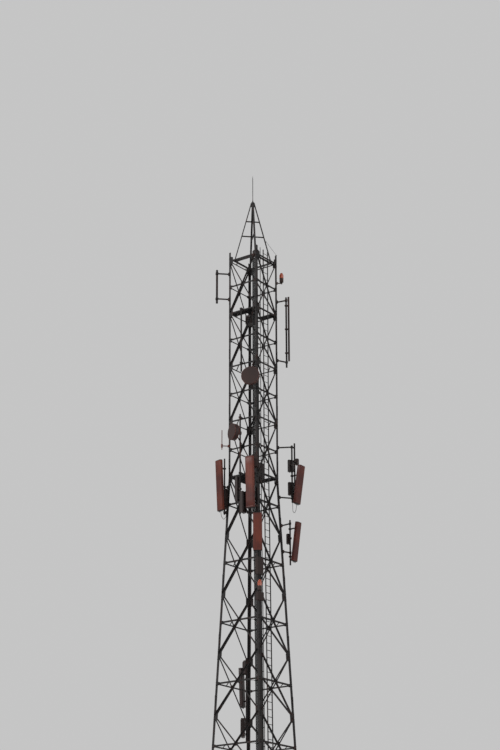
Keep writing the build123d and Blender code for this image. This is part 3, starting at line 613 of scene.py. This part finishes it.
def stamped(
    name: str,
    stamp: Stamp,
    slot: str,
    places: Sequence[Place],
    width: float,
    height: float,
    look: str = "",
) -> None:
    """Makes one piece of many like shapes.

    Args:
        name: The piece's name.
        stamp: The shape.
        slot: The material slot of its finish.
        places: Where the shapes go.
        width: The shape's Width input.
        height: The shape's Height input.
        look: The finish, where it isn't the slot's own.
    """
    if stamp not in TREES:
        TREES[stamp] = StampTree(stamp)
    tree = TREES[stamp]
    mesh = bpy.data.meshes.new(name)
    mesh.from_pydata([place.at for place in places], [], [])
    for key, rows in (("turn", [p.turn for p in places]), ("size", [p.size for p in places])):
        layer = mesh.attributes.new(key, "FLOAT_VECTOR", "POINT")
        layer.data.foreach_set("vector", [value for row in rows for value in row])
    carrier = bpy.data.objects.new(name, mesh)
    bpy.context.scene.collection.objects.link(carrier)
    modifier = carrier.modifiers.new("stamp", "NODES")
    modifier.node_group = tree.tree
    modifier[tree.width], modifier[tree.height] = width, height
    modifier[tree.finish] = finish(look or slot)
    bpy.context.view_layer.update()
    seen = carrier.evaluated_get(bpy.context.evaluated_depsgraph_get())
    whole = bpy.data.meshes.new_from_object(seen)
    carrier.modifiers.remove(modifier)
    carrier.data = whole
    dress(carrier, slot, name, len(places), look)


def dress(piece: bpy.types.Object, slot: str, name: str, count: int = 1, look: str = "") -> None:
    """Gives a piece its finish, lets it ride on the tower and reports it.

    Args:
        piece: The piece.
        slot: The material slot of its finish.
        name: The name that is reported.
        count: How many shapes it has.
        look: The finish, where it isn't the slot's own.
    """
    piece.data.materials.clear()
    piece.data.materials.append(finish(look or slot))
    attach(piece, ROOT)
    LOG.info("%s: %d shapes, %d faces", name, count, len(piece.data.polygons))


# The small pieces of the steelwork


@dataclass(frozen=True)
class LatticeBolts:
    """Bolts of one side, through its gussets, crossing plates and bars."""

    side: str
    head: float = 0.024
    rise: float = 0.014
    leg_line: float = 0.034
    leg_rises: tuple[float, ...] = (0.07, 0.135, 0.20)
    top_rise: float = 0.15
    edge: float = 0.03
    spacing: float = 0.05
    crossing_reaches: tuple[float, ...] = (0.03, 0.075)
    middle_rises: tuple[float, ...] = (-0.045, 0.045)
    middle_reaches: tuple[float, ...] = (0.03, 0.06)

    def _bay(self, face: SideFace, low: float, high: float) -> list[Place]:
        """Bolts of the two diagonals, the horizontal and the plates of a bay.

        Args:
            face: The side.
            low: Height of the bay's lower node.
            high: Height of its upper node.

        Returns:
            The bolts' places.
        """
        places = []
        leg_flange, flange = (UPPER_LEG, UPPER_BAR) if low >= KINK else (LOWER_LEG, LOWER_BAR)
        outer, inner = GUSSET + BAR_THICK, GUSSET
        below, above = half_width(low) - GAUGE, half_width(high) - GAUGE
        along = Vector((below + above, high - low)).normalized()
        back = (leg_flange + END_GAP - GAUGE + flange / 2 * along.y) / along.x
        middle = mid_bay(low, high)
        for step, hand, rise in ((flange / 2 + self.edge, 1, outer), (back + self.edge, -1, inner)):
            for reach in (step, step + self.spacing):
                u, z = along.x * reach, along.y * reach
                places.append(face.spot(hand * (-below + u), low + z, rise))
                places.append(face.spot(hand * (above - u), high - z, rise))
        for hand, rise in ((1, outer), (-1, inner)):
            for reach in self.crossing_reaches:
                for way in (1, -1):
                    u, z = way * along.x * reach * hand, way * along.y * reach
                    places.append(face.spot(u, middle + z, rise))
        half = half_width(middle)
        for hand in (1, -1):
            for rise in self.middle_rises:
                places.append(face.spot(hand * (half - self.leg_line), middle + rise, inner))
            for reach in self.middle_reaches:
                u = hand * (half - leg_flange - END_GAP - reach)
                places.append(face.spot(u, middle, inner))
        return places

    def _leg_levels(self) -> Iterable[float]:
        """Heights of the bolts in the legs, from the feet to the top gussets."""
        for height in node_heights():
            for rise in self.leg_rises:
                for way in (1, -1):
                    past_top = height == TOP and way * rise > self.top_rise
                    if height + way * rise >= FOOT_NODE and not past_top:
                        yield height + way * rise

    def build(self) -> None:
        """Makes the bolts."""
        face = SideFace(TURNS[self.side])
        heights = node_heights()
        places = []
        for low, high in zip(heights, heights[1:]):
            places += self._bay(face, low, high)
        for level in self._leg_levels():
            u = half_width(level) - self.leg_line
            places += [face.spot(hand * u, level, GUSSET) for hand in (1, -1)]
        stamped(f"bolts_{self.side}", Stamp.BOLT, "bracing_steel", places, self.head, self.rise)


@dataclass(frozen=True)
class SplicePlates:
    """Cover plates on the outer faces of the legs, between the nodes, with their bolts."""

    width: float = 0.085
    length: float = 0.44
    thick: float = 0.008
    lift: float = 0.0004
    heel_gap: float = 0.004
    above_node: float = 0.62
    bolt: float = 0.024
    bolt_rise: float = 0.014
    bolt_shift: float = 0.008
    rows: tuple[float, ...] = (-0.16, -0.055, 0.055, 0.16)

    def build(self) -> None:
        """Makes the plates and their bolts."""
        plates, bolts = [], []
        size = (self.width, self.length, self.thick)
        for turn in TURNS.values():
            face = SideFace(turn)
            for k in range(1, BAYS):
                level = BAY * k + self.above_node
                reach = half_width(level) - self.width / 2 - self.heel_gap
                for hand in (1, -1):
                    plates.append(face.spot(hand * reach, level, self.thick / 2 + self.lift, size))
                    for row in self.rows:
                        u = hand * (reach + self.bolt_shift)
                        bolts.append(face.spot(u, level + row, self.thick))
        stamped("leg_cover_plates", Stamp.BAR, "leg_steel", plates, 1.0, 1.0)
        stamped("leg_cover_bolts", Stamp.BOLT, "leg_steel", bolts, self.bolt, self.bolt_rise)


@dataclass(frozen=True)
class AnchorNuts:
    """Holding-down studs, washers and nuts on the base plates."""

    spacing: float = 0.32
    plate: float = 0.025
    nut: float = 0.046
    nut_rise: float = 0.024
    stud: Colour = (0.019, 0.019, 0.085)
    stud_middle: float = 0.045

    def build(self) -> None:
        """Makes the studs and nuts."""
        nuts, studs = [], []
        reaches = [leg + side * self.spacing / 2 for leg in (-BASE_HALF, BASE_HALF) for side in (-1, 1)]
        for x in reaches:
            for y in reaches:
                nuts.append(Place(AXIS + Vector((x, y, self.plate))))
                studs.append(Place(AXIS + Vector((x, y, self.stud_middle)), size=self.stud))
        stamped("anchor_nuts", Stamp.BOLT, "leg_steel", nuts, self.nut, self.nut_rise)
        stamped("anchor_studs", Stamp.BAR, "leg_steel", studs, 1.0, 1.0)


@dataclass(frozen=True)
class FloorMesh:
    """The fine bars of one floor's grating, between the bars that carry them."""

    name: str
    level: float
    west: float
    edge: float = 0.012
    hatch_west: float = 0.06
    hatch_south: float = -0.22
    hatch_north: float = 0.38
    slot_west: float = 0.52
    slot_east: float = 0.68
    slot_south: float = -0.625
    strip: float = 0.4
    pitch: float = 0.0267
    bar: float = 0.003
    bar_depth: float = 0.024
    bar_rise: float = 0.0165
    rod_pitch: float = 0.06
    rod_width: float = 0.005
    rod_depth: float = 0.007
    rod_rise: float = 0.008
    margin: float = 0.008

    def _panels(self) -> Iterable[tuple[float, float, float, float]]:
        """West, east, south and north edges of the panels."""
        reach = TOP_HALF - self.edge
        yield self.west, self.hatch_west - SEAT_GAP, -reach, reach
        yield self.hatch_west, self.slot_east - SEAT_GAP, self.hatch_north, reach
        yield self.hatch_west, self.slot_west - SEAT_GAP, -reach, self.hatch_south
        yield self.slot_west, self.slot_east - SEAT_GAP, -reach, self.slot_south
        yield self.slot_east, reach, -reach, reach
        if self.west > -reach:
            yield -reach, self.west - SEAT_GAP, -reach, -reach + self.strip

    def build(self) -> None:
        """Makes the bars."""
        places = []
        middle = self.level - UPPER_BAR / 2 + BAR_THICK + SEAT_GAP + self.bar_rise
        for west, east, south, north in self._panels():
            width, length = east - west, north - south
            count = max(2, round(width / self.pitch))
            size = (self.bar, length - self.margin, self.bar_depth)
            for k in range(1, count):
                at = AXIS + Vector((west + width * k / count, (south + north) / 2, middle))
                places.append(Place(at, size=size))
            count = max(2, round(length / self.rod_pitch))
            size = (width - self.margin, self.rod_width, self.rod_depth)
            for k in range(1, count):
                y = south + length * k / count
                at = AXIS + Vector(((west + east) / 2, y, middle + self.rod_rise))
                places.append(Place(at, size=size))
        stamped(self.name, Stamp.BAR, "floor_steel", places, 1.0, 1.0)


@dataclass(frozen=True)
class CableHangers:
    """Hanger bars and studs that hold the feeders on the cable ladder."""

    from_leg: float = 0.30
    riser_inset: float = 0.13
    half_stile: float = 0.015
    rung_proud: float = 0.002
    feeder: float = 0.028
    bottom: float = 0.5
    pitch: float = 0.75
    top: float = 34.9
    bar: Colour = (0.008, 0.262, 0.03)
    bar_back: float = 0.005
    bolt_rows: tuple[float, ...] = (-0.11956, 0.0, 0.11956)
    bolt: float = 0.014
    bolt_rise: float = 0.008

    def build(self) -> None:
        """Makes the hangers."""
        bars, bolts = [], []
        inset = self.riser_inset + self.half_stile + self.rung_proud + SEAT_GAP + self.feeder
        turn = Euler((0.0, -math.pi / 2, 0.0))
        for k in range(int((self.top - self.bottom) / self.pitch)):
            z = self.bottom + self.pitch * (k + 0.5)
            half = half_width(z)
            x, y = half - inset - self.bar_back, -half + self.from_leg
            bars.append(Place(AXIS + Vector((x, y, z)), size=self.bar))
            face = x - self.bar[0] / 2
            bolts += [Place(AXIS + Vector((face, y + row, z)), turn) for row in self.bolt_rows]
        stamped("cable_hangers", Stamp.BAR, "ladder_steel", bars, 1.0, 1.0)
        stamped("cable_hanger_bolts", Stamp.BOLT, "ladder_steel", bolts, self.bolt, self.bolt_rise)


@dataclass(frozen=True)
class CornerFeeders:
    """A second run of feeders up the front corner, clamped to its ties."""

    corner: str = "se"
    cables: int = 8
    radius: float = 0.014
    pitch: float = 0.029
    thin: float = 0.93
    bottom: float = 0.35
    top: float = 34.99
    lower_edge: float = 0.68 / math.sqrt(2)
    upper_edge: float = 0.40 / math.sqrt(2)
    lower_drop: float = 0.036
    upper_drop: float = 0.0283
    clamp: float = 0.008
    clamp_tall: float = 0.03
    clamp_margin: float = 0.05
    arm_width: float = 0.02
    arm_tall: float = 0.016
    bolt: float = 0.016
    bolt_rise: float = 0.009
    bolt_edge: float = 0.014

    def _spot(self, height: float, sideways: float, inwards: float) -> Vector:
        """A point inside the corner.

        Args:
            height: Its height.
            sideways: Its distance from the middle of the run.
            inwards: Its distance in from the leg's heel.

        Returns:
            The point.
        """
        bearing = LEG_BEARINGS[self.corner]
        out = heading(bearing) * (half_width(height) * math.sqrt(2) - inwards)
        return AXIS + out + heading(bearing + 90) * sideways + Vector((0.0, 0.0, height))

    def _rods(self, line: float) -> list[Place]:
        """The feeders, leaning to the kink and upright above it.

        Args:
            line: How far their middles lie in from the leg's heel.

        Returns:
            The places of their two lengths.
        """
        rods = []
        for k in range(self.cables):
            sideways = (k - (self.cables - 1) / 2) * self.pitch
            thin = self.thin if k % 2 else 1.0
            for bottom, top in ((self.bottom, KINK), (KINK, self.top)):
                low, high = self._spot(bottom, sideways, line), self._spot(top, sideways, line)
                turn = (high - low).to_track_quat("Z", "Y").to_euler()
                rods.append(Place((low + high) / 2, turn, (thin, thin, (high - low).length)))
        return rods

    def _levels(self) -> Iterable[tuple[float, float]]:
        """Height of each tie, and how far its inner edge lies in from the heel."""
        heights = node_heights()
        for low, high in zip(heights, heights[1 : TAPERED_BAYS + 1]):
            yield mid_bay(low, high) - self.lower_drop, self.lower_edge
        for height in heights[TAPERED_BAYS + 1 :]:
            yield height - self.upper_drop, self.upper_edge

    def build(self) -> None:
        """Makes the feeders, their clamps and the clamps' bolts."""
        bars, bolts = [], []
        line = self.lower_edge + self.clamp + self.radius
        bearing = LEG_BEARINGS[self.corner]
        turn = Euler((0.0, 0.0, math.radians(-bearing)))
        inward = heading(bearing + 180).to_track_quat("Z", "Y").to_euler()
        length = self.cables * self.pitch + self.clamp_margin
        for z, edge in self._levels():
            for side in (-1, 1):
                depth = line + side * (self.radius + self.clamp / 2)
                bars.append(Place(self._spot(z, 0.0, depth), turn, (length, self.clamp, self.clamp_tall)))
            reach = line + self.radius - edge
            for side in (-1, 1):
                sideways = side * (length / 2 - self.bolt_edge)
                arm = self._spot(z, sideways, edge + reach / 2)
                bars.append(Place(arm, turn, (self.arm_width, reach, self.arm_tall)))
                bolts.append(Place(self._spot(z, sideways, line + self.radius + self.clamp), inward))
        stamped("corner_feeders", Stamp.ROD, "cable_jacket", self._rods(line), self.radius, 1.0)
        stamped("corner_feeder_clamps", Stamp.BAR, "mount_steel", bars, 1.0, 1.0)
        stamped("corner_feeder_bolts", Stamp.BOLT, "mount_steel", bolts, self.bolt, self.bolt_rise)


# The antennas


@dataclass(frozen=True)
class Radome:
    """The rounded cover of a panel antenna, with a seam round each end."""

    name: str
    pipe: Vector
    bearing: float
    middle: float
    width: float
    depth: float
    tall: float
    tilt: float
    stand_off: float
    look: str = ""
    squareness: float = 7.0
    skin: float = 0.004
    end_gap: float = 0.008
    foot: tuple[tuple[float, float], ...] = (
        (0.0, 0.003), (0.006, 0.0), (0.05, 0.0), (0.054, 0.002), (0.058, 0.0)
    )
    sides: int = 36
    rings: int = 8
    split: float = 40.0

    def frame(self) -> Matrix:
        """The panel's middle, with +Y forwards and its top leaning forwards."""
        centre = Vector((self.pipe.x, self.pipe.y, self.middle))
        centre += heading(self.bearing) * (self.stand_off + self.depth / 2)
        turn = Matrix.Rotation(math.radians(-self.bearing), 4, "Z")
        return Matrix.Translation(AXIS + centre) @ turn @ Matrix.Rotation(math.radians(-self.tilt), 4, "X")

    def _outline(self, proud: float) -> list[tuple[float, float]]:
        """The cover's section: flat faces with softly rounded edges.

        Args:
            proud: How far it stands off the panel's body.

        Returns:
            The section's points.
        """
        points = []
        half_w, half_d = self.width / 2 + proud, self.depth / 2 + proud
        power = 2 / self.squareness
        for k in range(self.sides):
            angle = 2 * math.pi * k / self.sides
            c, s = math.cos(angle), math.sin(angle)
            x = half_w * math.copysign(abs(c) ** power, c)
            points.append((x, half_d * math.copysign(abs(s) ** power, s)))
        return points

    def _levels(self) -> list[tuple[float, float]]:
        """Height of each ring of points, and how far it stands off the body."""
        end = self.tall / 2 - self.end_gap
        ends = [(rise - end, self.skin - sunk) for rise, sunk in self.foot]
        plain = end - self.foot[-1][0]
        middle = [(-plain + 2 * plain * k / self.rings, self.skin) for k in range(1, self.rings)]
        return ends + middle + [(-z, proud) for z, proud in reversed(ends)]

    def build(self) -> None:
        """Makes the cover."""
        rings, verts, faces = [], [], []
        place = self.frame()
        for z, proud in self._levels():
            rings.append(len(verts))
            verts += [place @ Vector((x, y, z)) for x, y in self._outline(proud)]
        for low, high in zip(rings, rings[1:]):
            for k in range(self.sides):
                after = (k + 1) % self.sides
                faces.append((low + k, low + after, high + after, high + k))
        faces.append(tuple(reversed(range(rings[0], rings[0] + self.sides))))
        faces.append(tuple(range(rings[-1], rings[-1] + self.sides)))
        mesh = bpy.data.meshes.new(self.name)
        mesh.from_pydata(verts, [], faces)
        mesh.shade_smooth()
        piece = bpy.data.objects.new(self.name, mesh)
        bpy.context.scene.collection.objects.link(piece)
        mark = piece.modifiers.new("edges", "EDGE_SPLIT")
        mark.split_angle = math.radians(self.split)
        dress(piece, "antenna_shell", self.name, look=self.look)


def beside(corner: str, height: float, offset: Vector) -> Vector:
    """A pipe's place beside a leg.

    Args:
        corner: The leg.
        height: The height at which the leg's heel is taken.
        offset: The pipe's offset from the heel.

    Returns:
        The pipe's place, about the tower's axis.
    """
    return leg_heel(corner, height) + offset


def radomes() -> list[Radome]:
    """The covers of all panel antennas."""
    west = beside("sw", KINK, heading(225) * 0.175)
    front = beside("se", KINK, Vector((-0.04, -0.26, 0)))
    east = beside("ne", KINK, heading(45) * 0.59)
    low_east = beside("ne", 22.5, heading(45) * 0.335)
    low_south = beside("se", 22.5, heading(140) * 0.175)
    rear = beside("nw", 15.0, heading(300) * 0.19)
    return [
        Radome("radome_west", west, 195, 24.63, 0.35, 0.14, 2.17, 3.0, 0.175),
        Radome("radome_south", front, 172, 24.445, 0.36, 0.14, 2.2, 2.0, 0.17),
        Radome("radome_east", east, 88, 24.77, 0.38, 0.16, 1.64, 9.0, 0.265),
        Radome("radome_low_east", low_east, 88, 22.29, 0.30, 0.14, 1.65, 8.0, 0.235),
        Radome("radome_low_south", low_south, 150, 22.28, 0.36, 0.14, 1.57, 2.0, 0.15),
        # The rear cover takes the dark slender finish, not the russet one: painted shade of its unlit back.
        Radome("radome_rear", rear, 255, 16.53, 0.34, 0.14, 1.6, 2.0, 0.13, "slender_shell"),
    ]


@dataclass(frozen=True)
class DishTrim:
    """Rim hoops, drawn in a russet painted highlight, and cover clips of one dish."""

    name: str
    pipe: Vector
    radius: float
    bearing: float
    middle: float
    diameter: float
    depth: float
    behind: float = 0.06
    back_hoop: float = 0.131
    front_hoop: float = 0.120
    hoop: float = 0.008
    clips: int = 16
    clip: Colour = (0.008, 0.06, 0.03)
    clip_reach: float = 0.10
    clip_proud: float = 0.002

    def build(self) -> None:
        """Makes the hoops and the clips."""
        near, rim = self.radius + self.behind, self.diameter / 2
        turn = Matrix.Rotation(math.radians(-self.bearing), 4, "Z")
        place = Matrix.Translation(AXIS + Vector((self.pipe.x, self.pipe.y, self.middle))) @ turn
        flat = (turn @ Matrix.Rotation(math.radians(-90), 4, "X")).to_euler()
        reaches = (self.back_hoop, self.front_hoop + self.depth)
        hoops = [Place(place @ Vector((0, near + reach, 0)), flat) for reach in reaches]
        hoops_name = f"{self.name}_hoops"
        # The hoops take the russet rim finish, a painted highlight of the lit dish rims.
        stamped(hoops_name, Stamp.RING, "dish_shell", hoops, rim, self.hoop, "dish_rim")
        clips = []
        front = place @ Matrix.Translation(Vector((0, near + self.clip_reach + self.depth, 0)))
        for k in range(self.clips):
            spin = Matrix.Rotation(2 * math.pi * k / self.clips, 4, "Y")
            at = front @ spin @ Vector((rim + self.clip_proud, 0, 0))
            clips.append(Place(at, (turn @ spin).to_euler(), self.clip))
        stamped(f"{self.name}_clips", Stamp.BAR, "mount_steel", clips, 1.0, 1.0)


# Camera, light and ground


@dataclass(frozen=True)
class Lamp:
    """One soft sun."""

    name: str
    power: float
    angle: float
    direction: Colour

    def build(self) -> None:
        """Makes the lamp."""
        lamp = bpy.data.lights.new(self.name, "SUN")
        lamp.energy, lamp.angle = self.power, math.radians(self.angle)
        holder = bpy.data.objects.new(self.name, lamp)
        holder.rotation_euler = Vector(self.direction).to_track_quat("-Z", "Y").to_euler()
        bpy.context.scene.collection.objects.link(holder)


@dataclass(frozen=True)
class Studio:
    """The camera at the photograph's place, plain soft light and a pale floor."""

    eye: Colour = (44.590, -55.987, 2.768)
    azimuth: float = 36.6589
    pitch: float = 20.5346
    roll: float = -0.1166
    lens: float = 85.44
    sensor: float = 36.0
    sight: float = 500.0
    pale: Colour = (0.80, 0.80, 0.80)
    world: float = 0.7
    floor_reach: float = 90.0
    floor_level: float = -0.001
    floor_corners: int = 64
    lamps: tuple[Lamp, ...] = (
        Lamp("key", 1.8, 12.0, (0.35, 0.75, -0.55)),
        Lamp("fill", 0.8, 40.0, (-0.9, 0.25, -0.25)),
        Lamp("low", 0.7, 60.0, (-0.45, 0.5, 0.55)),
    )

    def camera(self) -> None:
        """Places the camera."""
        d, a, r = (math.radians(v) for v in (self.azimuth, self.pitch, self.roll))
        ahead, right = Vector((-math.sin(d), math.cos(d), 0)), Vector((math.cos(d), math.sin(d), 0))
        up = Vector((0, 0, 1))
        view = ahead * math.cos(a) + up * math.sin(a)
        top = up * math.cos(a) - ahead * math.sin(a)
        across = right * math.cos(r) + top * math.sin(r)
        top = top * math.cos(r) - right * math.sin(r)
        data = bpy.data.cameras.new("camera")
        data.lens, data.sensor_width, data.clip_end = self.lens, self.sensor, self.sight
        camera = bpy.data.objects.new("camera", data)
        bpy.context.scene.collection.objects.link(camera)
        basis = Matrix((across, top, -view)).transposed().to_4x4()
        camera.matrix_world = Matrix.Translation(Vector(self.eye)) @ basis
        bpy.context.scene.camera = camera

    def lights(self) -> None:
        """Makes the lamps and the world."""
        for lamp in self.lamps:
            lamp.build()
        world = bpy.data.worlds.new("studio")
        world.use_nodes = True
        backdrop = world.node_tree.nodes["Background"]
        backdrop.inputs["Color"].default_value = (*self.pale, 1.0)
        backdrop.inputs["Strength"].default_value = self.world
        bpy.context.scene.world = world

    def floor(self) -> None:
        """Lays the floor."""
        mesh = bpy.data.meshes.new("floor")
        count = self.floor_corners
        ring = [AXIS + heading(-360 * k / count) * self.floor_reach for k in range(count)]
        corners = [(at.x, at.y, self.floor_level) for at in ring]
        mesh.from_pydata(corners, [], [tuple(range(count))])
        floor = bpy.data.objects.new("floor", mesh)
        bpy.context.scene.collection.objects.link(floor)
        sheet = Sheet("floor_pale")
        mesh.materials.append(sheet.finish(Base_Color=self.pale, Roughness=0.9))

    def build(self) -> None:
        """Sets up the whole studio."""
        self.camera()
        self.lights()
        self.floor()
        bpy.context.scene.view_settings.view_transform = "Standard"


def dress_nodes() -> None:
    """Gives every node of the frame the finish of its slot."""
    slots = {row["node"]: row["material_slot"] for row in frame["record"]["subparts"]}
    for name, node in frame["nodes"].items():
        covered = name.startswith(COVERED_PANEL) and not name.startswith("panel_mount")
        material = finish("mount_steel" if covered else NODE_LOOKS.get(name, slots[name]))
        for slot in node.material_slots:
            slot.material = material
        LOG.info("%s: %s", name, material.name)


def pieces() -> list[Callable[[], None]]:
    """The makers of the small pieces, in order."""
    upper_pipe = beside("se", KINK, Vector((-0.06, -0.25, 0)))
    lower_pipe = Vector((0.0, -TOP_HALF - 0.19, 0.0))
    makers: list[Callable[[], None]] = [LatticeBolts(side).build for side in TURNS]
    makers += [SplicePlates().build, AnchorNuts().build, CableHangers().build, CornerFeeders().build]
    makers.append(FloorMesh("grating_upper", 32.5, -0.062).build)
    makers.append(FloorMesh("grating_middle", KINK + KINK_RISE, -0.738).build)
    makers += [radome.build for radome in radomes()]
    makers.append(DishTrim("dish_upper", upper_pipe, 0.045, 158, 29.105, 0.77, 0.15).build)
    makers.append(DishTrim("dish_lower", lower_pipe, 0.034, 205, 26.8, 0.70, 0.19).build)
    return makers


def main() -> None:
    """Builds the scene."""
    logging.basicConfig(level=logging.INFO, format="%(name)s %(message)s")
    Studio().build()
    dress_nodes()
    for make in pieces():
        make()


if __name__ == "__main__":
    main()
